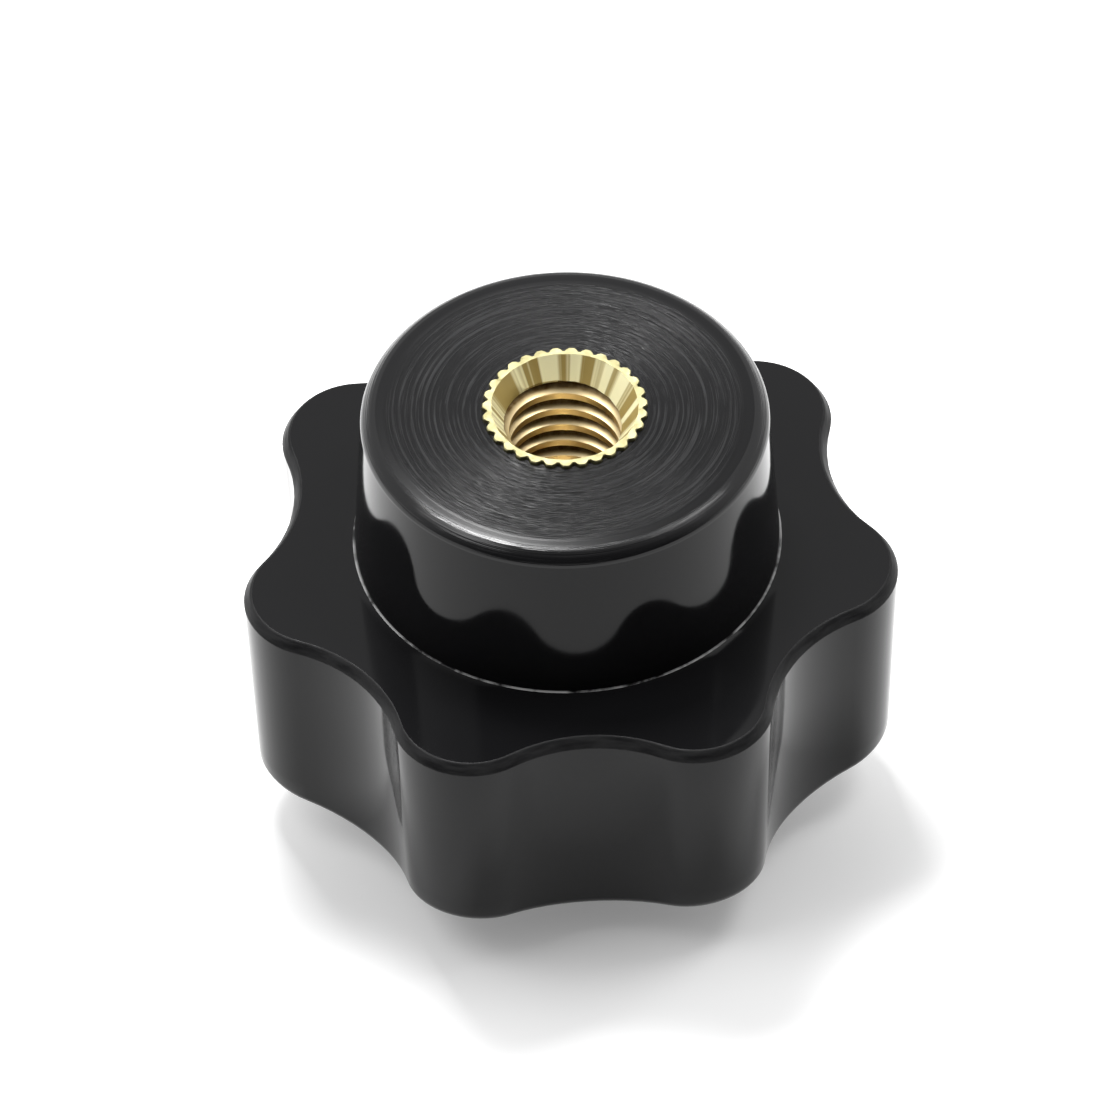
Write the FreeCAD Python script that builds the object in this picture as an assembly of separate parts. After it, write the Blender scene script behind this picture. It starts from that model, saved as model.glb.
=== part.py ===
import FreeCAD, Part
import math
import os

from FreeCAD import Vector

# Star knob: a head with seven lobes and a drafted hub, moulded in one piece round a
# knurled metal insert that has a blind tapped hole. Sizes are in millimetres, angles in
# degrees. The knob's axis is Z, the hub points up, and the flat land in the middle of
# the crown lies at z = 0.

# Whole knob
total_height = 22.0            # from the crown's land to the end of the insert
insert_proud = 0.2             # end of the insert above the face of the hub

# Lobed head, its outline taken at the parting line
head_diameter = 30.0           # over the noses of the lobes
lobe_count = 7
nose_radius = 3.55             # rounding of a lobe's nose, seen along the axis
valley_distance = 12.6         # from the axis to the bottom of a valley
first_nose_angle = 90.0        # one nose points along +Y
wall_draft = 2.3               # the side wall leans in towards the crown
rim_width = 0.3                # trimmed band above the parting line
rim_drop = 0.5
edge_round = 0.7               # side wall into crown

# Crown: a shallow cone that runs out of a flat land through a wide round
crown_rise = 3.1               # from the land up to the lower edge of the noses
land_diameter = 10.0
land_round = 6.0

# Hub, faced and chamfered at its end
hub_diameter = 18.2            # at the end, before the chamfer
hub_height = 8.15
hub_draft = 3.4                # the hub grows towards its foot
hub_chamfer = 0.45

# Threaded insert
insert_diameter = 7.4          # over the crests of the knurl
insert_length = 14.0
knurl_teeth = 31
knurl_depth = 0.2
knurl_crest = 0.22             # width of the flat on each crest
groove_width = 2.0             # turned groove that the moulding grips
groove_depth = 0.35
groove_below_end = 6.5         # end of the insert to the middle of the groove
bore_diameter = 5.0            # inside the crests of an M6 x 1 thread
bore_depth = 11.5              # full diameter, below the end of the insert
drill_point_angle = 118.0
countersink_diameter = 6.6
countersink_angle = 60.0

# What follows from the sizes above
head_radius = head_diameter / 2
insert_radius = insert_diameter / 2
hub_face_height = total_height - insert_proud
rim_height = hub_face_height - hub_height
parting_height = rim_height - rim_drop
insert_foot_height = total_height - insert_length
half_pitch = math.pi / lobe_count
overrun = 1.0                  # how far a cutting shape runs past what it cuts


def tangent(degrees):
    return math.tan(math.radians(degrees))


def polar(radius, angle, height=0.0):
    return Vector(radius * math.cos(angle), radius * math.sin(angle), height)


def arc(start, middle, end):
    return Part.Arc(start, middle, end).toShape()


def turned(profile):
    # Solid of revolution round Z from (radius, height) corners
    corners = [Vector(radius, 0, height) for radius, height in profile]
    outline = Part.makePolygon(corners + corners[:1])
    return Part.Face(outline).revolve(Vector(0, 0, 0), Vector(0, 0, 1), 360)


def valley_radius():
    # The arc of a valley that touches the round noses on both sides
    nose_distance = head_radius - nose_radius
    reach = nose_distance * math.cos(half_pitch)
    across = nose_radius ** 2 - nose_distance ** 2 - valley_distance ** 2
    across += 2 * reach * valley_distance
    return across / (2 * (valley_distance - reach - nose_radius))


def lobed_wire(height, inset):
    # Outline of the head, moved in by an even inset, as arcs that meet smoothly
    nose_distance = head_radius - nose_radius
    valley_centre_distance = valley_distance + valley_radius()
    share = (nose_radius - inset) / (nose_radius + valley_radius())
    edges = []
    for lobe in range(lobe_count):
        angle = math.radians(first_nose_angle) + 2 * half_pitch * lobe
        nose = polar(nose_distance, angle, height)
        next_nose = polar(nose_distance, angle + 2 * half_pitch, height)
        valley_before = polar(valley_centre_distance, angle - half_pitch, height)
        valley_after = polar(valley_centre_distance, angle + half_pitch, height)
        nose_start = nose + (valley_before - nose) * share
        nose_end = nose + (valley_after - nose) * share
        valley_end = next_nose + (valley_after - next_nose) * share
        tip = polar(head_radius - inset, angle, height)
        dip = polar(valley_distance - inset, angle + half_pitch, height)
        edges.append(arc(nose_start, tip, nose_end))
        edges.append(arc(nose_end, dip, valley_end))
    return Part.Wire(edges)


def wall_inset(height):
    # How far the drafted wall stands inside the parting line
    return (parting_height - height) * tangent(wall_draft)


def lobed_block():
    # Drafted wall from the land's level up to the parting line, then the trimmed band
    foot = lobed_wire(0.0, wall_inset(0.0))
    parting = lobed_wire(parting_height, 0.0)
    rim = lobed_wire(rim_height, rim_width)
    wall = Part.makeLoft([foot, parting], True, True)
    band = Part.makeLoft([parting, rim], True, True)
    return wall.fuse(band)


def crown_turning():
    # The turned shape that the crown leaves of the lobed block
    land_radius = land_diameter / 2
    slope = crown_rise / (head_radius - wall_inset(crown_rise) - land_radius)
    outside = head_radius + overrun
    return turned([
        (0, 0),
        (land_radius, 0),
        (outside, slope * (outside - land_radius)),
        (outside, rim_height),
        (0, rim_height),
    ])


def is_ring(edge, height, radius):
    # Whether an edge is the circle of that radius round the axis at that height
    if not isinstance(edge.Curve, Part.Circle):
        return False
    level = abs(edge.Curve.Center.z - height) < 0.001
    return level and abs(edge.Curve.Radius - radius) < 0.001


def head():
    blank = lobed_block().common(crown_turning()).removeSplitter()
    lower_edges = []
    for edge in blank.Edges:
        box = edge.BoundBox
        if box.ZMin > 0.01 and box.ZMax < crown_rise + 0.01:
            lower_edges.append(edge)
    blank = blank.makeFillet(edge_round, lower_edges)
    land_edge = [edge for edge in blank.Edges if is_ring(edge, 0.0, land_diameter / 2)]
    return blank.makeFillet(land_round, land_edge)


def hub():
    end_radius = hub_diameter / 2
    foot_radius = end_radius + hub_height * tangent(hub_draft)
    cone = Part.makeCone(foot_radius, end_radius, hub_height, Vector(0, 0, rim_height))
    end_edge = [edge for edge in cone.Edges if is_ring(edge, hub_face_height, end_radius)]
    return cone.makeChamfer(hub_chamfer, end_edge)


def knurl_wire(height):
    # Straight knurl: narrow crests with sharp valleys between them
    half_crest = knurl_crest / insert_diameter
    pitch = 2 * math.pi / knurl_teeth
    corners = []
    for tooth in range(knurl_teeth):
        angle = pitch * tooth
        corners.append(polar(insert_radius, angle - half_crest, height))
        corners.append(polar(insert_radius, angle + half_crest, height))
        corners.append(polar(insert_radius - knurl_depth, angle + pitch / 2, height))
    return Part.makePolygon(corners + corners[:1])


def insert_blank():
    # Outside of the insert before it is drilled, which is also the moulding's pocket
    knurled = Part.Face(knurl_wire(insert_foot_height)).extrude(Vector(0, 0, insert_length))
    middle = total_height - groove_below_end
    groove = turned([
        (insert_radius - groove_depth, middle - groove_width / 2),
        (insert_radius + overrun, middle - groove_width / 2),
        (insert_radius + overrun, middle + groove_width / 2),
        (insert_radius - groove_depth, middle + groove_width / 2),
    ])
    return knurled.cut(groove)


def drilled_hole():
    # Bore with its drill point, and the countersink at the mouth
    bore_radius = bore_diameter / 2
    mouth_radius = countersink_diameter / 2
    bottom = total_height - bore_depth
    point_depth = bore_radius / tangent(drill_point_angle / 2)
    flare = tangent(countersink_angle / 2)
    sink_depth = (mouth_radius - bore_radius) / flare
    return turned([
        (0, bottom - point_depth),
        (bore_radius, bottom),
        (bore_radius, total_height - sink_depth),
        (mouth_radius + overrun * flare, total_height + overrun),
        (0, total_height + overrun),
    ])


blank = insert_blank()
parts = {
    "knob_body": head().fuse(hub()).removeSplitter().cut(blank),
    "threaded_insert": blank.cut(drilled_hole()),
}

os.makedirs("parts", exist_ok=True)
for name, shape in parts.items():
    shape.exportStep("parts/" + name + ".step")
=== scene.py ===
import math
import random

import bmesh
import bpy
from mathutils import Matrix, Vector


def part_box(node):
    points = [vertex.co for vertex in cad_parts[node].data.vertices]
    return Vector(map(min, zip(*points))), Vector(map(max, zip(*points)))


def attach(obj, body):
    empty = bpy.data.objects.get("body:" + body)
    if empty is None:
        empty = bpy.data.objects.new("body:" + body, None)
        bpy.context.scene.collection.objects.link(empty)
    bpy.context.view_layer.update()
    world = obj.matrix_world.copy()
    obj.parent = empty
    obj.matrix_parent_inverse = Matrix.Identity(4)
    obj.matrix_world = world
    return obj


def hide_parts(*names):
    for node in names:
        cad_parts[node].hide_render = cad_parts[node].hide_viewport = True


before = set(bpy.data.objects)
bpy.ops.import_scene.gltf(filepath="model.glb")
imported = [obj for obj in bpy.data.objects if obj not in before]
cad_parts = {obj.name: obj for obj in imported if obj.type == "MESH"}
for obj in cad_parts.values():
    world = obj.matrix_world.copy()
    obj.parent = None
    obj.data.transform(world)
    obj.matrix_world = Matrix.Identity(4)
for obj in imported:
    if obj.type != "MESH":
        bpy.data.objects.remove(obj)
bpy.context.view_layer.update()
scene = bpy.context.scene
scene.view_settings.view_transform = "Standard"

# Meshes are drawn in millimetres, taken from the frame, and scaled to metres when done
mm = 0.001
sameSpot = 0.002  # millimetres; what is nearer than this counts as the same place
up = Vector((0, 0, 1))
bodyLow, bodyHigh = [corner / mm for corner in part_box("knob_body")]
insertLow, insertHigh = [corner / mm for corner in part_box("threaded_insert")]
headRadius = bodyHigh.y  # one nose points along +Y
hubTop = bodyHigh.z
print("frame loaded")


def polar(radius, angle, height=0.0):
    return Vector((radius * math.cos(angle), radius * math.sin(angle), height))


def tangent(degrees):
    return math.tan(math.radians(degrees))


def isVert(item):
    return isinstance(item, bmesh.types.BMVert)


def isEdge(item):
    return isinstance(item, bmesh.types.BMEdge)


def newDrawing():
    # Every vertex of a ring remembers its place on the drawn outline and which way is out
    bm = bmesh.new()
    bm.verts.layers.float_vector.new("home")
    bm.verts.layers.float_vector.new("outward")
    return bm


def ringLayers(bm):
    layers = bm.verts.layers.float_vector
    return layers["home"], layers["outward"]


def pullRing(bm, ring, place):
    # Extrudes a loop of edges and puts each new vertex at place(home, outward)
    homeLayer, outwardLayer = ringLayers(bm)
    made = bmesh.ops.extrude_edge_only(bm, edges=ring)["geom"]
    verts = [item for item in made if isVert(item)]
    for vert in verts:
        vert.co = place(vert[homeLayer], vert[outwardLayer])
    fresh = set(verts)
    return [item for item in made if isEdge(item) and fresh.issuperset(item.verts)]


def ringAt(bm, height, inner, outer):
    # The open edges at a height, between two radii
    found = []
    for edge in bm.edges:
        middle = (edge.verts[0].co + edge.verts[1].co) / 2
        if edge.is_boundary and abs(middle.z - height) < sameSpot and inner < middle.xy.length < outer:
            found.append(edge)
    return found


def drawProfile(bm, corners, rounds):
    # An open line of (radius, height) corners in the XZ plane, each corner rounded
    verts = [bm.verts.new((radius, 0, height)) for radius, height in corners]
    for first, second in zip(verts, verts[1:]):
        bm.edges.new((first, second))
    for vert, size in zip(verts[1:-1], rounds):
        if size:
            bmesh.ops.bevel(bm, geom=[vert], affect="VERTICES", offset=size,
                            offset_type="OFFSET", segments=4, profile=0.5, material=-1)
    return verts[0]


def edgesOf(verts):
    # Each edge once, and in the same order at every run
    return list(dict.fromkeys(edge for vert in verts for edge in vert.link_edges))


def vertsOf(edges):
    return list(dict.fromkeys(vert for edge in edges for vert in edge.verts))


def connected(vert):
    # All that hangs together with a vertex: the list grows while it is walked
    found = [vert]
    for here in found:
        for other in vertsOf(here.link_edges):
            if other not in found:
                found.append(other)
    return found


def finishMesh(bm, name, body, materials, sharpAngle):
    bmesh.ops.remove_doubles(bm, verts=bm.verts, dist=0.0004)
    bmesh.ops.recalc_face_normals(bm, faces=bm.faces)
    bmesh.ops.scale(bm, vec=(mm, mm, mm), verts=bm.verts)
    openEdges = sum(1 for edge in bm.edges if not edge.is_manifold)
    mesh = bpy.data.meshes.new(name)
    for face in bm.faces:
        face.smooth = True
    bm.to_mesh(mesh)
    bm.free()
    for material in materials:
        mesh.materials.append(material)
    mesh.set_sharp_from_angle(angle=math.radians(sharpAngle))
    piece = bpy.data.objects.new(name, mesh)
    scene.collection.objects.link(piece)
    weighted = piece.modifiers.new("evenShading", "WEIGHTED_NORMAL")
    weighted.keep_sharp = True
    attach(piece, body)
    print(name, len(mesh.vertices), "vertices,", openEdges, "open edges")
    return piece


def newGroup(name, inputs, outputs):
    group = bpy.data.node_groups.new(name, "ShaderNodeTree")
    for label, kind, value in inputs:
        socket = group.interface.new_socket(label, in_out="INPUT", socket_type=kind)
        if value is not None:
            socket.default_value = value
    for label, kind in outputs:
        group.interface.new_socket(label, in_out="OUTPUT", socket_type=kind)
    start = group.nodes.new("NodeGroupInput")
    end = group.nodes.new("NodeGroupOutput")
    return group, start, end


def fillInputs(tree, node, inputs):
    # Each value is either a plain setting or the socket of another node
    for key, value in inputs.items():
        if isinstance(value, bpy.types.NodeSocket):
            tree.links.new(value, node.inputs[key])
        else:
            node.inputs[key].default_value = value
    return node


def addNode(tree, kind, inputs, **settings):
    node = tree.nodes.new(kind)
    for key, value in settings.items():
        setattr(node, key, value)
    return fillInputs(tree, node, inputs)


def addGroup(tree, group, inputs):
    node = tree.nodes.new("ShaderNodeGroup")
    node.node_tree = group
    return fillInputs(tree, node, inputs)


ringCuts = {
    "detail": 3.0,
    "roughness": 0.75,
    "feedTurns": 3.0,  # turns of the even feed wave for each step of the noise
    "feedShare": 0.05,
    "greyFrom": 0.5,  # heights between which a cut goes from black to grey
    "greyTo": 0.68,
}


def turningRings():
    # Fine uneven cuts round the axis that start and stop, such as facing in a lathe leaves
    group, start, end = newGroup(
        "turningRings",
        [("Position", "NodeSocketVector", None), ("Rings per metre", "NodeSocketFloat", 4000),
         ("Breaks", "NodeSocketFloat", 1.0), ("Fade from", "NodeSocketFloat", 0.0077),
         ("Fade to", "NodeSocketFloat", 0.0081), ("Lean", "NodeSocketFloat", 0.0)],
        [("Height", "NodeSocketFloat"), ("Mask", "NodeSocketFloat")])
    flat = addNode(group, "ShaderNodeVectorMath", {0: start.outputs["Position"], 1: (1, 1, 0)},
                   operation="MULTIPLY")
    radius = addNode(group, "ShaderNodeVectorMath", {0: flat.outputs[0]}, operation="LENGTH")
    around = addNode(group, "ShaderNodeVectorMath", {0: flat.outputs[0]}, operation="NORMALIZE")
    wide = addNode(group, "ShaderNodeVectorMath",
                   {0: around.outputs[0], "Scale": start.outputs["Breaks"]}, operation="SCALE")
    count = addNode(group, "ShaderNodeMath",
                    {0: radius.outputs["Value"], 1: start.outputs["Rings per metre"]},
                    operation="MULTIPLY")
    parts = addNode(group, "ShaderNodeSeparateXYZ", {0: wide.outputs[0]})
    spot = addNode(group, "ShaderNodeCombineXYZ",
                   {"X": parts.outputs["X"], "Y": parts.outputs["Y"], "Z": count.outputs[0]})
    cuts = addNode(group, "ShaderNodeTexNoise",
                   {"Vector": spot.outputs[0], "Scale": 1.0, "Detail": ringCuts["detail"],
                    "Roughness": ringCuts["roughness"]})
    feed = addNode(group, "ShaderNodeMath",
                   {0: count.outputs[0], 1: ringCuts["feedTurns"], 2: cuts.outputs["Fac"]},
                   operation="MULTIPLY_ADD")
    wave = addNode(group, "ShaderNodeMath", {0: feed.outputs[0]}, operation="SINE")
    ridge = addNode(group, "ShaderNodeMath",
                    {0: wave.outputs[0], 1: ringCuts["feedShare"], 2: cuts.outputs["Fac"]},
                    operation="MULTIPLY_ADD")
    kept = addNode(group, "ShaderNodeMapRange",
                   {"Value": radius.outputs["Value"], "From Min": start.outputs["Fade from"],
                    "From Max": start.outputs["Fade to"], "To Min": 1.0, "To Max": 0.0})
    height = addNode(group, "ShaderNodeMath", {0: ridge.outputs[0], 1: kept.outputs["Result"]},
                     operation="MULTIPLY")
    lean = addNode(group, "ShaderNodeMath",
                   {0: radius.outputs["Value"], 1: start.outputs["Lean"], 2: height.outputs[0]},
                   operation="MULTIPLY_ADD")
    group.links.new(lean.outputs[0], end.inputs["Height"])
    level = addNode(group, "ShaderNodeMapRange",
                    {"Value": ridge.outputs[0], "From Min": ringCuts["greyFrom"],
                     "From Max": ringCuts["greyTo"]})
    mask = addNode(group, "ShaderNodeMath", {0: level.outputs["Result"], 1: kept.outputs["Result"]},
                   operation="MULTIPLY")
    group.links.new(mask.outputs[0], end.inputs["Mask"])
    return group


def mottle():
    # Cloudy patches with a finer grain in them
    group, start, end = newGroup(
        "mottle",
        [("Position", "NodeSocketVector", None), ("Scale", "NodeSocketFloat", 900.0),
         ("Low", "NodeSocketFloat", 0.35), ("High", "NodeSocketFloat", 0.65)],
        [("Mask", "NodeSocketFloat")])
    cloud = addNode(group, "ShaderNodeTexNoise",
                    {"Vector": start.outputs["Position"], "Scale": start.outputs["Scale"],
                     "Detail": 5.0, "Roughness": 0.6})
    level = addNode(group, "ShaderNodeMapRange",
                    {"Value": cloud.outputs["Fac"], "From Min": start.outputs["Low"],
                     "From Max": start.outputs["High"]})
    group.links.new(level.outputs["Result"], end.inputs["Mask"])
    return group


ringsGroup = turningRings()
mottleGroup = mottle()


def newMaterial(name, color, roughness, metallic=0.0):
    material = bpy.data.materials.new(name)
    material.use_nodes = True
    tree = material.node_tree
    shader = tree.nodes["Principled BSDF"]
    shader.inputs["Base Color"].default_value = (*color, 1)
    shader.inputs["Roughness"].default_value = roughness
    shader.inputs["Metallic"].default_value = metallic
    place = tree.nodes.new("ShaderNodeTexCoord").outputs["Object"]
    return material, tree, shader, place


def varyRoughness(tree, shader, mask, low, high):
    spread = addNode(tree, "ShaderNodeMapRange", {"Value": mask, "To Min": low, "To Max": high})
    tree.links.new(spread.outputs["Result"], shader.inputs["Roughness"])


def varyColor(tree, shader, mask, first, second):
    blend = addNode(tree, "ShaderNodeMix", {"Factor": mask}, data_type="RGBA")
    # The node has sockets of the same names for numbers, vectors and colours
    colors = [socket for socket in blend.inputs if socket.type == "RGBA"]
    colors[0].default_value = (*first, 1)
    colors[1].default_value = (*second, 1)
    result = next(socket for socket in blend.outputs if socket.type == "RGBA")
    tree.links.new(result, shader.inputs["Base Color"])


def addBump(tree, shader, height, strength, distance):
    bump = addNode(tree, "ShaderNodeBump",
                   {"Strength": strength, "Distance": distance, "Height": height})
    tree.links.new(bump.outputs["Normal"], shader.inputs["Normal"])


mouldingFinish = {
    "black": (0.0055, 0.0055, 0.006),
    "cutBlack": (0.006, 0.006, 0.0065),  # where a tool has cut through the gloss skin
    "cutGrey": (0.024, 0.024, 0.025),
    "scraped": (0.016, 0.016, 0.0165),
    # pale grey of the broken line at the hub's foot: partly flash, partly a painted highlight
    "flashAndHighlightGrey": (0.30, 0.30, 0.30),
    "specular": 0.2,
    "cutSpecular": 0.17,
    "chamferSpecular": 0.38,
    "rimSpecular": 0.14,
    "ringsPerMetre": 8000.0,
    "cutLean": -1500.0,  # the cuts of the end face lean outward, in cut heights per metre
}


def blackPlastic(name, color, roughness):
    material, tree, shader, place = newMaterial(name, color, roughness)
    shader.inputs["Specular IOR Level"].default_value = mouldingFinish["specular"]
    return material, tree, shader, place


def glossMoulding():
    material, tree, shader, place = blackPlastic("glossMoulding", mouldingFinish["black"], 0.1)
    haze = addGroup(tree, mottleGroup, {"Position": place, "Scale": 260.0})
    varyRoughness(tree, shader, haze.outputs["Mask"], low=0.06, high=0.11)
    swell = addNode(tree, "ShaderNodeTexNoise", {"Vector": place, "Scale": 160.0, "Detail": 1.0})
    addBump(tree, shader, swell.outputs["Fac"], strength=0.1, distance=0.0002)
    return material


def facedMoulding():
    material, tree, shader, place = blackPlastic("facedMoulding", mouldingFinish["cutBlack"], 0.3)
    shader.inputs["Specular IOR Level"].default_value = mouldingFinish["cutSpecular"]
    rings = addGroup(tree, ringsGroup, {"Position": place, "Lean": mouldingFinish["cutLean"],
                                        "Rings per metre": mouldingFinish["ringsPerMetre"]})
    varyRoughness(tree, shader, rings.outputs["Mask"], low=0.22, high=0.4)
    varyColor(tree, shader, rings.outputs["Mask"], mouldingFinish["cutBlack"],
              mouldingFinish["cutGrey"])
    addBump(tree, shader, rings.outputs["Height"], strength=1.0, distance=0.00008)
    return material


def cutChamfer():
    # Cut with the same tool, but nearly polished, with a few fine lines left
    material, tree, shader, place = blackPlastic("cutChamfer", mouldingFinish["black"], 0.13)
    shader.inputs["Specular IOR Level"].default_value = mouldingFinish["chamferSpecular"]
    lines = addGroup(tree, ringsGroup, {"Position": place, "Rings per metre": 9000.0,
                                        "Breaks": 0.6, "Fade from": 0.0094, "Fade to": 0.0096})
    addBump(tree, shader, lines.outputs["Height"], strength=0.7, distance=0.00004)
    return material


def trimmedRim():
    # Where the flash was scraped off: dull, with faint streaks along the edge
    material, tree, shader, place = blackPlastic("trimmedRim", mouldingFinish["cutBlack"], 0.5)
    shader.inputs["Specular IOR Level"].default_value = mouldingFinish["rimSpecular"]
    stretch = addNode(tree, "ShaderNodeMapping", {"Vector": place, "Scale": (0.35, 0.35, 2.2)})
    grain = addGroup(tree, mottleGroup, {"Position": stretch.outputs[0], "Scale": 1500.0,
                                         "Low": 0.35, "High": 0.65})
    varyRoughness(tree, shader, grain.outputs["Mask"], low=0.3, high=0.6)
    varyColor(tree, shader, grain.outputs["Mask"], mouldingFinish["cutBlack"],
              mouldingFinish["scraped"])
    addBump(tree, shader, grain.outputs["Mask"], strength=0.4, distance=0.00003)
    return material


# A broken pale line round the hub's foot: partly flash left by the mould, partly a painted highlight
# along the small round there
def footFlashAndHighlight():
    material, tree, shader, place = blackPlastic("footFlashAndHighlight", mouldingFinish["flashAndHighlightGrey"], 0.35)
    broken = addGroup(tree, mottleGroup, {"Position": place, "Scale": 900.0,
                                          "Low": 0.42, "High": 0.58})
    varyColor(tree, shader, broken.outputs["Mask"], mouldingFinish["cutBlack"],
              mouldingFinish["flashAndHighlightGrey"])
    return material


moulding = {
    "lobes": 7,
    "firstNose": 90.0,
    "noseRadius": 3.55,
    "valleyDistance": 12.6,
    "noseSteps": 19,
    "valleySteps": 12,
    "wallDraft": 2.3,
    "rimWidth": 0.3,
    "rimDrop": 0.5,
    "rimRound": 0.05,
    "flangeRound": (0.03, 0.08),  # two rings that round the band over into the flange
    "flangeSink": 0.012,
    "wallSteps": 4,
    "wallFoot": 4.2,  # height of the lowest ring of the wall, just above its rounded edge
    "edgeRound": 0.49,  # width of the rounded lower edge, measured back from the corner
    "crownRise": 3.1,
    "landRadius": 5.0,
    "landRound": 6.0,
    "coneShares": (0.12, 0.3, 0.55, 0.8, 1.0),  # rings from the lower edge in to coneFoot
    "coneFoot": 6.0,
    "roundEnd": 4.0,
    "roundSteps": 8,
    "landRing": 2.0,
    "hubRadius": 9.1,
    "hubHeight": 8.15,
    "hubDraft": 3.4,
    "hubChamfer": 0.45,
    "footRound": 0.07,
    "footSkirt": 0.4,  # strip of the flange and of the end face drawn with the hub
    "faceStrip": 0.35,
    "chamferRound": 0.2,
    "pocketPlay": 0.004,
    "pocketFloorRing": 1.5,
}

insert = {
    "teeth": 31,
    "knurlDepth": 0.2,
    "crestWidth": 0.22,
    "valleyWidth": 0.12,
    "crestBreak": 0.05,
    "grooveWidth": 2.0,
    "grooveDepth": 0.35,
    "grooveBelowEnd": 6.5,
    "boreRadius": 2.5,
    "rootRadius": 2.95,
    "threadPitch": 1.0,
    "threadLength": 10.2,
    "flankAngle": 30.0,
    "runOut": 0.06,  # what lies this near the cone has the finish of the countersink
    "boreDepth": 11.5,
    "drillPoint": 118.0,
    "mouthRadius": 3.3,
    "sinkAngle": 60.0,
    "cleanDepth": 0.9,  # how far down the countersink is free of thread
    "panelSteps": (4, 11),  # narrowest and widest flat panel, in steps round the bore
    "seed": 11,
}

# Places of the finishes in each piece's list of materials; new faces take the first
gloss, faced, trimmed, flashAndHighlight, chamferCut = range(5)
threaded, sunk = 1, 2

insertRadius = insertHigh.x
turnSteps = moulding["lobes"] * (moulding["noseSteps"] + moulding["valleySteps"])  # seven a tooth
rimHeight = hubTop - moulding["hubHeight"]
partingHeight = rimHeight - moulding["rimDrop"]
lobePitch = 2 * math.pi / moulding["lobes"]


def wallInset(height):
    return (partingHeight - height) * tangent(moulding["wallDraft"])


def crownHeight(radius):
    # Flat land, a wide round, then a shallow cone
    land = moulding["landRadius"]
    bend = moulding["landRound"]
    rise = moulding["crownRise"]
    slope = rise / (headRadius - wallInset(rise) - land)
    reach = bend * math.tan(math.atan(slope) / 2)
    if radius <= land - reach:
        return 0.0
    if radius < land + reach * math.cos(math.atan(slope)):
        return bend - math.sqrt(bend ** 2 - (radius - land + reach) ** 2)
    return slope * (radius - land)


def spinArc(bm, start, centre, angle, steps, side):
    # Sweeps one vertex round a centre; side tells whether out is away from the centre
    homeLayer, outwardLayer = ringLayers(bm)
    count = len(bm.verts)
    swept = bmesh.ops.spin(bm, geom=[start], cent=centre, axis=up, angle=angle, steps=steps,
                           use_merge=False)["geom_last"]
    bm.verts.ensure_lookup_table()
    for vert in [start] + list(bm.verts[count:]):
        vert[homeLayer] = vert.co
        vert[outwardLayer] = (vert.co - centre).normalized() * side
    return next(item for item in swept if isVert(item))


def lobedOutline(bm):
    # Round noses joined by the valley arcs that touch them
    noseRadius = moulding["noseRadius"]
    valleyDistance = moulding["valleyDistance"]
    noseDistance = headRadius - noseRadius
    reach = noseDistance * math.cos(lobePitch / 2)
    across = noseRadius ** 2 - noseDistance ** 2 - valleyDistance ** 2 + 2 * reach * valleyDistance
    valleyRadius = across / (2 * (valleyDistance - reach - noseRadius))
    valleyCentreDistance = valleyDistance + valleyRadius
    firstNose = math.radians(moulding["firstNose"])
    toValley = polar(valleyCentreDistance, lobePitch / 2) - polar(noseDistance, 0)
    noseTurn = math.atan2(toValley.y, toValley.x)
    valleyTurn = noseTurn - lobePitch / 2
    place = polar(noseDistance, firstNose) + polar(noseRadius, firstNose - noseTurn)
    vert = bm.verts.new(place + up * partingHeight)
    for lobe in range(moulding["lobes"]):
        angle = firstNose + lobe * lobePitch
        nose = polar(noseDistance, angle, partingHeight)
        valley = polar(valleyCentreDistance, angle + lobePitch / 2, partingHeight)
        vert = spinArc(bm, vert, nose, 2 * noseTurn, moulding["noseSteps"], 1)
        vert = spinArc(bm, vert, valley, -2 * valleyTurn, moulding["valleySteps"], -1)
    bmesh.ops.remove_doubles(bm, verts=bm.verts, dist=0.001)
    return list(bm.edges)


def onWall(inset, height):
    def place(home, outward):
        spot = home - outward * inset
        return Vector((spot.x, spot.y, height))
    return place


def lowerEdge(home, outward):
    # Where the drafted wall meets the crown, which a few rounds settle
    height = moulding["crownRise"]
    for attempt in range(6):
        spot = home - outward * wallInset(height)
        height = crownHeight(spot.xy.length)
    return Vector((spot.x, spot.y, height))


def onCrown(radius, share):
    # A share of the way in from the lower edge to a circle on the crown
    def place(home, outward):
        edge = lowerEdge(home, outward)
        length = edge.xy.length * (1 - share) + radius * share
        spot = edge.xy.normalized() * length
        return Vector((spot.x, spot.y, crownHeight(length)))
    return place


def atRadius(radius, height):
    def place(home, outward):
        spot = home.xy.normalized() * radius
        return Vector((spot.x, spot.y, height))
    return place


def lobedHead(bm):
    # From the parting line down the wall and over the crown
    ring = lobedOutline(bm)
    wallSteps = moulding["wallSteps"]
    for step in range(1, wallSteps + 1):
        height = partingHeight + (moulding["wallFoot"] - partingHeight) * step / wallSteps
        ring = pullRing(bm, ring, onWall(wallInset(height), height))
    ring = pullRing(bm, ring, lowerEdge)
    corner = ring
    coneFoot = moulding["coneFoot"]
    for share in moulding["coneShares"]:
        ring = pullRing(bm, ring, onCrown(coneFoot, share))
    roundSteps = moulding["roundSteps"]
    for step in range(1, roundSteps + 1):
        radius = coneFoot - (coneFoot - moulding["roundEnd"]) * step / roundSteps
        ring = pullRing(bm, ring, atRadius(radius, crownHeight(radius)))
    ring = pullRing(bm, ring, atRadius(moulding["landRing"], 0.0))
    bmesh.ops.contextual_create(bm, geom=ring)
    bmesh.ops.bevel(bm, geom=corner, affect="EDGES", offset=moulding["edgeRound"],
                    offset_type="OFFSET", segments=5, profile=0.5, material=-1,
                    clamp_overlap=False)
    return [edge for edge in bm.edges if edge.is_boundary]


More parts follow.
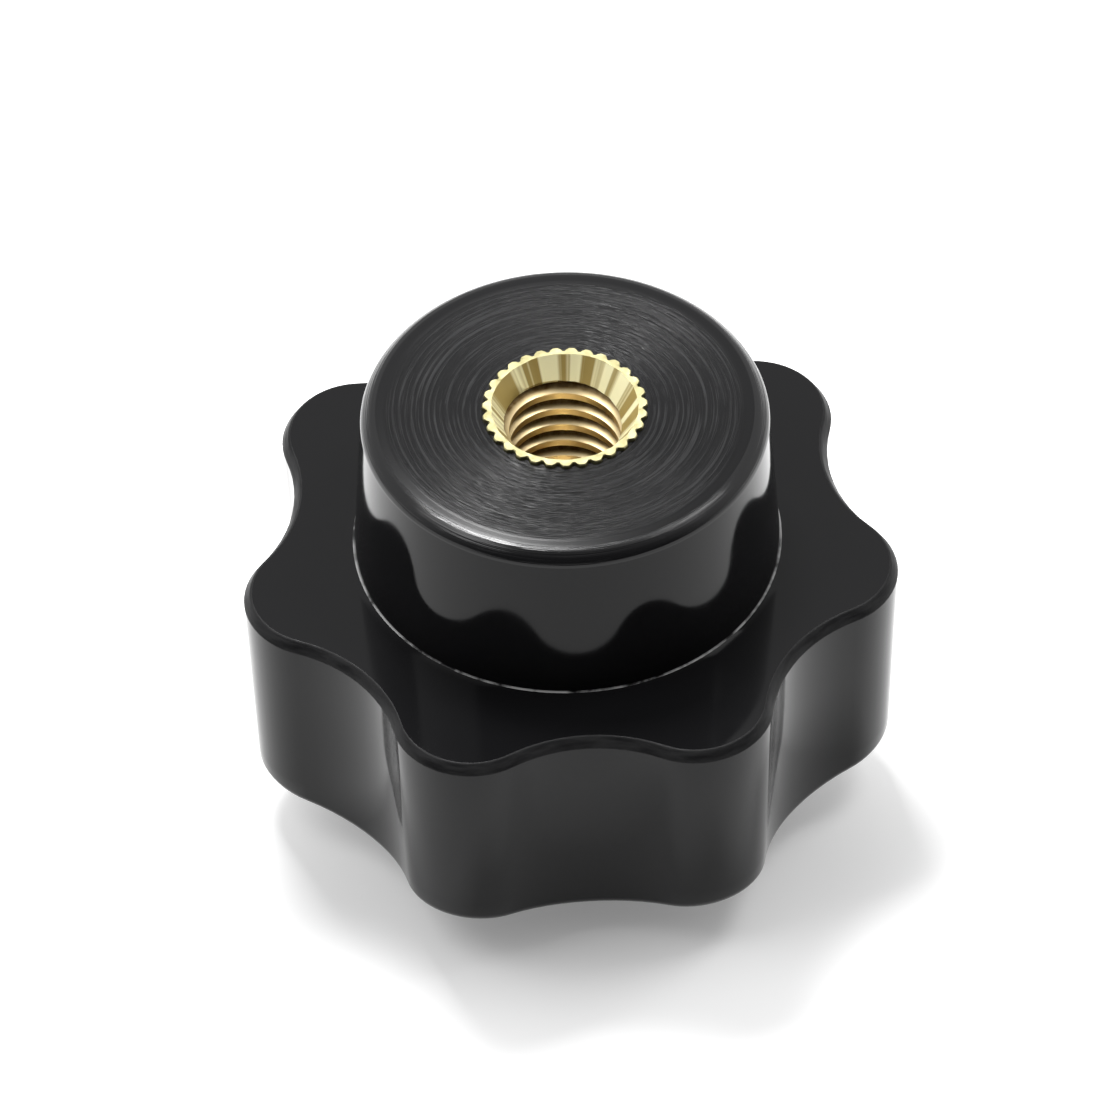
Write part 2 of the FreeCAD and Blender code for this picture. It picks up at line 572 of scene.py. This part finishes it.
def rimAndFlange(bm, ring):
    # The trimmed band with small rounds at both its edges, then the flat flange
    width = moulding["rimWidth"]
    small = moulding["rimRound"]
    band = math.hypot(width, moulding["rimDrop"])
    share = small / band
    firstFaces = set(bm.faces)
    ring = pullRing(bm, ring, onWall(width * share, partingHeight + moulding["rimDrop"] * share))
    ring = pullRing(bm, ring, onWall(width * (1 - share),
                                     rimHeight - moulding["rimDrop"] * share))
    for face in set(bm.faces) - firstFaces:
        face.material_index = trimmed
    low, high = moulding["flangeRound"]
    ring = pullRing(bm, ring, onWall(width + low, rimHeight - moulding["flangeSink"]))
    return pullRing(bm, ring, onWall(width + high, rimHeight))


def hubSurface(bm):
    # Hub side, chamfer and the start of its end face, turned from one rounded profile
    end = moulding["hubRadius"]
    draft = tangent(moulding["hubDraft"])
    chamfer = moulding["hubChamfer"]
    foot = end + moulding["hubHeight"] * draft
    skirt = foot + moulding["footSkirt"]
    strip = end - chamfer - moulding["faceStrip"]
    first = drawProfile(
        bm,
        [(skirt, rimHeight), (foot, rimHeight), (end + chamfer * draft, hubTop - chamfer),
         (end - chamfer, hubTop), (strip, hubTop)],
        [moulding["footRound"], moulding["chamferRound"], moulding["chamferRound"]])
    line = connected(first)
    before = set(bm.faces)
    bmesh.ops.spin(bm, geom=line + edgesOf(line), cent=(0, 0, 0), axis=up,
                   angle=2 * math.pi, steps=turnSteps, use_merge=True)
    # The foot round takes the pale line that is partly flash and partly a painted highlight
    footStripHeight = rimHeight + moulding["footRound"]
    footStripRadius = foot + moulding["footRound"] * 1.5
    for face in set(bm.faces) - before:
        middle = face.calc_center_median()
        if middle.z < footStripHeight and middle.xy.length < footStripRadius:
            face.material_index = flashAndHighlight
        elif middle.z > hubTop - 2 * sameSpot:
            face.material_index = faced
        elif middle.z > hubTop - chamfer - moulding["chamferRound"]:
            face.material_index = chamferCut


def knurlOutline(bm, height, play):
    # One tooth is a few vertices; it is copied round the axis
    pitch = 2 * math.pi / insert["teeth"]
    crest = insert["crestWidth"] / 2 / insertRadius
    root = insert["valleyWidth"] / 2 / insertRadius
    valleyRadius = insertRadius - insert["knurlDepth"]
    middle = (insertRadius + valleyRadius) / 2
    homeLayer, outwardLayer = ringLayers(bm)
    spots = [(insertRadius, -crest), (insertRadius, crest), (middle, pitch / 4 + crest / 2),
             (valleyRadius, pitch / 2 - root), (valleyRadius, pitch / 2),
             (valleyRadius, pitch / 2 + root), (middle, pitch * 0.75 - crest / 2),
             (insertRadius, pitch - crest)]
    verts = [bm.verts.new(polar(radius + play, angle, height)) for radius, angle in spots]
    edges = [bm.edges.new(pair) for pair in zip(verts, verts[1:])]
    bmesh.ops.spin(bm, geom=verts + edges, cent=(0, 0, 0), axis=up, angle=2 * math.pi,
                   steps=insert["teeth"], use_duplicate=True)
    ring = [edge for edge in bm.edges if not edge.link_faces
            and abs(edge.verts[0].co.z - height) < 0.0001]
    bmesh.ops.remove_doubles(bm, verts=vertsOf(ring), dist=sameSpot)
    ring = [edge for edge in bm.edges if not edge.link_faces]
    for vert in vertsOf(ring):
        vert[homeLayer] = vert.co
        vert[outwardLayer] = Vector((vert.co.x, vert.co.y, 0)).normalized()
    return ring


def grooveRings(bm, ring, play):
    # Down the knurl to the groove, round it, and on to the insert's foot
    middle = insertHigh.z - insert["grooveBelowEnd"]
    top = middle + insert["grooveWidth"] / 2 - play
    bottom = middle - insert["grooveWidth"] / 2 + play
    radius = insertRadius - insert["grooveDepth"] + play
    ring = pullRing(bm, ring, onWall(0.0, top))
    ring = pullRing(bm, ring, atRadius(radius, top))
    ring = pullRing(bm, ring, atRadius(radius, bottom))
    ring = pullRing(bm, ring, onWall(0.0, bottom))
    return pullRing(bm, ring, onWall(0.0, insertLow.z - play))


def endFaceAndPocket(bm):
    before = set(bm.faces)
    inner = ringAt(bm, hubTop, insertRadius, moulding["hubRadius"])
    knurl = knurlOutline(bm, hubTop, moulding["pocketPlay"])
    bmesh.ops.bridge_loops(bm, edges=inner + knurl)
    for face in set(bm.faces) - before:
        face.material_index = faced
    ring = grooveRings(bm, knurl, moulding["pocketPlay"])
    ring = pullRing(bm, ring, atRadius(moulding["pocketFloorRing"],
                                       insertLow.z - moulding["pocketPlay"]))
    bmesh.ops.contextual_create(bm, geom=ring)


def buildMoulding():
    bm = newDrawing()
    ring = lobedHead(bm)
    outer = rimAndFlange(bm, ring)
    hubSurface(bm)
    foot = ringAt(bm, rimHeight, moulding["hubRadius"], moulding["valleyDistance"] - 1)
    for face in bmesh.ops.bridge_loops(bm, edges=outer + foot)["faces"]:
        face.material_index = gloss
    endFaceAndPocket(bm)
    materials = [glossMoulding(), facedMoulding(), trimmedRim(), footFlashAndHighlight(), cutChamfer()]
    return finishMesh(bm, "mouldedKnob", "root", materials, sharpAngle=40)


knob = buildMoulding()
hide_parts("knob_body")
print("moulding built")


insertFinish = {
    "turnedDull": (0.45, 0.41, 0.20),
    "turnedBright": (0.56, 0.52, 0.30),
    # The countersink's two colours are a painted reflection and a painted shade of its panels
    "sinkPaintedLight": (1.0, 0.95, 0.60),
    "sinkPaintedShade": (0.37, 0.275, 0.09),
    "sinkMetallic": 0.15,
    "threadCrest": (0.86, 0.70, 0.40),
    # The thread's root colour is partly cutting oil and partly painted shade in the recess
    "threadRoot": (0.13, 0.075, 0.024),
    "oilAndShadeStart": 0.01,  # millimetres out from the crest, and in from the root
    "oilAndShadeFull": 0.2,
}


def brassTurned():
    material, tree, shader, place = newMaterial("brassTurned", insertFinish["turnedDull"], 0.3, 1.0)
    stain = addGroup(tree, mottleGroup, {"Position": place, "Scale": 1500.0})
    varyColor(tree, shader, stain.outputs["Mask"], insertFinish["turnedDull"],
              insertFinish["turnedBright"])
    varyRoughness(tree, shader, stain.outputs["Mask"], low=0.26, high=0.42)
    return material


def brassSink():
    # Light and dark streaks run down the countersink, each about as wide as one of its panels: painted
    # reflections and painted shade of the panels, on a base that is mostly not metal
    material, tree, shader, place = newMaterial("brassSink", insertFinish["sinkPaintedLight"], 0.3,
                                                insertFinish["sinkMetallic"])
    flat = addNode(tree, "ShaderNodeVectorMath", {0: place, 1: (1, 1, 0)}, operation="MULTIPLY")
    around = addNode(tree, "ShaderNodeVectorMath", {0: flat.outputs[0]}, operation="NORMALIZE")
    panelLightNoise = addNode(tree, "ShaderNodeTexNoise", {"Vector": around.outputs[0], "Scale": 3.2,
                                                   "Detail": 3.0, "Roughness": 0.6})
    crisp = addNode(tree, "ShaderNodeMapRange", {"Value": panelLightNoise.outputs["Fac"],
                                                 "From Min": 0.45, "From Max": 0.53})
    varyColor(tree, shader, crisp.outputs["Result"], insertFinish["sinkPaintedLight"],
              insertFinish["sinkPaintedShade"])
    return material


def brassThread():
    # Darker towards the roots of the thread: partly cutting oil, partly painted shade in the recess;
    # the crests keep the plain brass colour
    material, tree, shader, place = newMaterial("brassThread", insertFinish["threadCrest"], 0.3, 1.0)
    flat = addNode(tree, "ShaderNodeVectorMath", {0: place, 1: (1, 1, 0)}, operation="MULTIPLY")
    radius = addNode(tree, "ShaderNodeVectorMath", {0: flat.outputs[0]}, operation="LENGTH")
    root = addNode(tree, "ShaderNodeMapRange",
                   {"Value": radius.outputs["Value"],
                    "From Min": (insert["boreRadius"] + insertFinish["oilAndShadeStart"]) * mm,
                    "From Max": (insert["rootRadius"] - insertFinish["oilAndShadeFull"]) * mm})
    stain = addGroup(tree, mottleGroup, {"Position": place, "Scale": 1200.0})
    uneven = addNode(tree, "ShaderNodeMapRange",
                     {"Value": stain.outputs["Mask"], "To Min": 0.75, "To Max": 1.0})
    rootOilAndShade = addNode(tree, "ShaderNodeMath",
                   {0: root.outputs["Result"], 1: uneven.outputs["Result"]}, operation="MULTIPLY")
    varyColor(tree, shader, rootOilAndShade.outputs[0], insertFinish["threadCrest"],
              insertFinish["threadRoot"])
    varyRoughness(tree, shader, rootOilAndShade.outputs[0], low=0.28, high=0.6)
    return material


def flatPanels():
    # The countersink is cut in irregular flat panels: a share of the radius for each step
    draw = random.Random(insert["seed"])
    narrow, wide = insert["panelSteps"]
    borders = [0]
    while borders[-1] < turnSteps - wide:
        borders.append(borders[-1] + draw.randint(narrow, wide))
    borders.append(turnSteps)
    stepAngle = 2 * math.pi / turnSteps
    shares = []
    for first, last in zip(borders, borders[1:]):
        middle = (first + last) / 2
        flat = math.cos((last - middle) * stepAngle)
        for step in range(first, last):
            shares.append(flat / math.cos((step - middle) * stepAngle))
    return shares


def sinkRadius(spot, shares):
    # Radius of the panelled countersink at a point
    cone = insert["mouthRadius"] - (insertHigh.z - spot.z) * tangent(insert["sinkAngle"] / 2)
    turn = math.atan2(spot.y, spot.x) / (2 * math.pi) * turnSteps
    index = math.floor(turn + 1e-6)
    rest = turn - index
    here = shares[index % turnSteps]
    following = shares[(index + 1) % turnSteps]
    return cone * (here * (1 - rest) + following * rest)


def threadProfile():
    # One pitch: narrow root, flank, crest, flank, as (radius, height within the pitch)
    root = insert["rootRadius"]
    crest = insert["boreRadius"]
    flank = (root - crest) * tangent(insert["flankAngle"])
    flat = insert["threadPitch"] / 8
    crestFlat = insert["threadPitch"] - flat - 2 * flank
    return [(root, 0.0), (root, flat), ((root + crest) / 2, flat + flank / 2),
            (crest, flat + flank), (crest, flat + flank + crestFlat),
            ((root + crest) / 2, flat + flank * 1.5 + crestFlat)]


def threadSurface(bm, shares):
    # A long zigzag line, screwed one turn round the axis and opened out into the countersink
    pitch = insert["threadPitch"]
    bottomHeight = insertHigh.z - insert["threadLength"]
    turns = math.ceil(insert["threadLength"] / pitch) + 3  # some to spare, cut off below
    start = bottomHeight - pitch * 1.5
    corners = []
    for turn in range(turns):
        for radius, height in threadProfile():
            corners.append((radius, start + pitch * turn + height))
    first = drawProfile(bm, corners, [0] * (len(corners) - 2))
    line = connected(first)
    bmesh.ops.spin(bm, geom=line + edgesOf(line), cent=(0, 0, 0), axis=up,
                   angle=2 * math.pi, steps=turnSteps, dvec=(0, 0, pitch / turnSteps),
                   use_merge=False)
    bmesh.ops.remove_doubles(bm, verts=bm.verts, dist=sameSpot)
    for vert in bm.verts:
        wanted = sinkRadius(vert.co, shares)
        aboveThread = insertHigh.z - vert.co.z < insert["cleanDepth"]
        if aboveThread or vert.co.xy.length < wanted:
            vert.co.xy *= wanted / vert.co.xy.length
    for height, above in ((insertHigh.z, True), (bottomHeight, False)):
        everything = list(bm.verts) + list(bm.edges) + list(bm.faces)
        bmesh.ops.bisect_plane(bm, geom=everything, dist=0.0001, plane_co=(0, 0, height),
                               plane_no=up, clear_outer=above, clear_inner=not above)
    for face in bm.faces:
        middle = face.calc_center_median()
        onCone = abs(middle.xy.length - sinkRadius(middle, shares)) < insert["runOut"]
        face.material_index = sunk if onCone else threaded
    return bottomHeight


def drilledBottom(bm, bottomHeight):
    # Plain bore below the thread, and the drill point
    low = ringAt(bm, bottomHeight, 0.0, insertRadius)
    homeLayer = ringLayers(bm)[0]
    for vert in vertsOf(low):
        vert[homeLayer] = vert.co
    radius = insert["boreRadius"]
    boreBottom = insertHigh.z - insert["boreDepth"]
    tip = 0.1
    pointDepth = (radius - tip) / tangent(insert["drillPoint"] / 2)
    ring = pullRing(bm, low, atRadius(radius, bottomHeight))
    ring = pullRing(bm, ring, atRadius(radius, boreBottom))
    ring = pullRing(bm, ring, atRadius(tip, boreBottom - pointDepth))
    bmesh.ops.contextual_create(bm, geom=ring)


def buildInsert():
    bm = newDrawing()
    bottomHeight = threadSurface(bm, flatPanels())
    drilledBottom(bm, bottomHeight)
    mouth = ringAt(bm, insertHigh.z, 0.0, insertRadius)
    small = insert["crestBreak"]
    knurl = knurlOutline(bm, insertHigh.z - small, 0.0)
    topRing = pullRing(bm, knurl, onWall(small * 0.8, insertHigh.z))
    bmesh.ops.triangle_fill(bm, use_beauty=True, edges=topRing + mouth, normal=up)
    ring = grooveRings(bm, knurl, 0.0)
    bmesh.ops.contextual_create(bm, geom=ring)
    materials = [brassTurned(), brassThread(), brassSink()]
    return finishMesh(bm, "brassInsert", "root", materials, sharpAngle=25)


brass = buildInsert()
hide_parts("threaded_insert")
print("insert built")


stageValues = {
    "floorSize": 1.5,
    "floorGap": 0.00003,
    "floorColor": (0.75, 0.75, 0.75),
    "frontLift": 0.2,
    "backLift": 1.0,
    "liftFrom": -0.01,  # the floor's lift grows between these two places on Y, in metres
    "liftTo": 0.015,
    "frontLevel": 0.05,
    "backLevel": 0.98,
    "levelFrom": -0.72,  # the world's level grows between these two directions on Y
    "levelTo": 0.1,
    "aimHeight": 0.01,
}

lamps = {
    "leftWindow": {"place": (-0.235, -0.035, 0.40), "size": (0.22, 0.22), "power": 0.6},
    "rightWindow": {"place": (0.203, 0.056, 0.41), "size": (0.14, 0.14), "power": 0.5},
    "overhead": {"place": (-0.066, 0.198, 0.476), "size": (0.12, 0.12), "power": 2.0},
}

cameraValues = {
    "elevation": 46.4,
    "azimuth": -92.9,
    "distance": 0.530,
    "lens": 385.0,
    "targetHeight": 0.01276,
    "targetRight": -0.00079,
    "roll": -1.2,
}


def buildFloor():
    bm = bmesh.new()
    bmesh.ops.create_grid(bm, x_segments=1, y_segments=1, size=stageValues["floorSize"])
    bmesh.ops.translate(bm, verts=bm.verts, vec=up * -stageValues["floorGap"])
    mesh = bpy.data.meshes.new("floor")
    bm.to_mesh(mesh)
    bm.free()
    floor = bpy.data.objects.new("floor", mesh)
    scene.collection.objects.link(floor)
    material, tree, shader, place = newMaterial("paleFloor", stageValues["floorColor"], 0.9)
    shader.inputs["Specular IOR Level"].default_value = 0.0
    # Lifted to white where it is seen straight or mirrored; the knob's shadow stays on it
    path = tree.nodes.new("ShaderNodeLightPath")
    seen = addNode(tree, "ShaderNodeMath", {0: path.outputs["Is Camera Ray"],
                                            1: path.outputs["Is Glossy Ray"]}, operation="ADD")
    rays = addNode(tree, "ShaderNodeMath", {0: seen.outputs[0],
                                            1: path.outputs["Is Transmission Ray"]},
                   operation="ADD", use_clamp=True)
    parts = addNode(tree, "ShaderNodeSeparateXYZ", {0: place})
    amount = addNode(tree, "ShaderNodeMapRange",
                     {"Value": parts.outputs["Y"], "From Min": stageValues["liftFrom"],
                      "From Max": stageValues["liftTo"], "To Min": stageValues["frontLift"],
                      "To Max": stageValues["backLift"]},
                     interpolation_type="SMOOTHSTEP")
    lift = addNode(tree, "ShaderNodeMath", {0: rays.outputs[0], 1: amount.outputs["Result"]},
                   operation="MULTIPLY")
    shader.inputs["Emission Color"].default_value = (1, 1, 1, 1)
    tree.links.new(lift.outputs[0], shader.inputs["Emission Strength"])
    mesh.materials.append(material)
    return floor


def buildWorld():
    # A pale room that is darker on the camera's side
    world = bpy.data.worlds.new("paleWorld")
    scene.world = world
    world.use_nodes = True
    tree = world.node_tree
    background = tree.nodes["Background"]
    background.inputs["Color"].default_value = (1, 1, 1, 1)
    direction = tree.nodes.new("ShaderNodeTexCoord").outputs["Generated"]
    parts = addNode(tree, "ShaderNodeSeparateXYZ", {0: direction})
    level = addNode(tree, "ShaderNodeMapRange",
                    {"Value": parts.outputs["Y"], "From Min": stageValues["levelFrom"],
                     "From Max": stageValues["levelTo"], "To Min": stageValues["frontLevel"],
                     "To Max": stageValues["backLevel"]},
                    interpolation_type="SMOOTHSTEP")
    tree.links.new(level.outputs["Result"], background.inputs["Strength"])


def buildLamps():
    for name, values in lamps.items():
        data = bpy.data.lights.new(name, "AREA")
        data.shape = "RECTANGLE"
        data.size, data.size_y = values["size"]
        data.energy = values["power"]
        lamp = bpy.data.objects.new(name, data)
        lamp.location = values["place"]
        aim = up * stageValues["aimHeight"] - lamp.location
        lamp.rotation_euler = aim.to_track_quat("-Z", "Y").to_euler()
        scene.collection.objects.link(lamp)


def buildCamera():
    azimuth = math.radians(cameraValues["azimuth"])
    elevation = math.radians(cameraValues["elevation"])
    toCamera = Vector((math.cos(elevation) * math.cos(azimuth),
                       math.cos(elevation) * math.sin(azimuth), math.sin(elevation)))
    right = Vector((-math.sin(azimuth), math.cos(azimuth), 0))
    target = up * cameraValues["targetHeight"] + right * cameraValues["targetRight"]
    data = bpy.data.cameras.new("photoCamera")
    data.lens = cameraValues["lens"]
    data.sensor_width = 36
    data.sensor_fit = "HORIZONTAL"
    data.clip_start = 0.01
    camera = bpy.data.objects.new("photoCamera", data)
    camera.location = target + toCamera * cameraValues["distance"]
    turn = (-toCamera).to_track_quat("-Z", "Y").to_matrix()
    roll = Matrix.Rotation(math.radians(cameraValues["roll"]), 3, "Z")
    camera.rotation_euler = (turn @ roll).to_euler()
    scene.collection.objects.link(camera)
    scene.camera = camera


buildFloor()
buildWorld()
buildLamps()
buildCamera()
print("stage built")
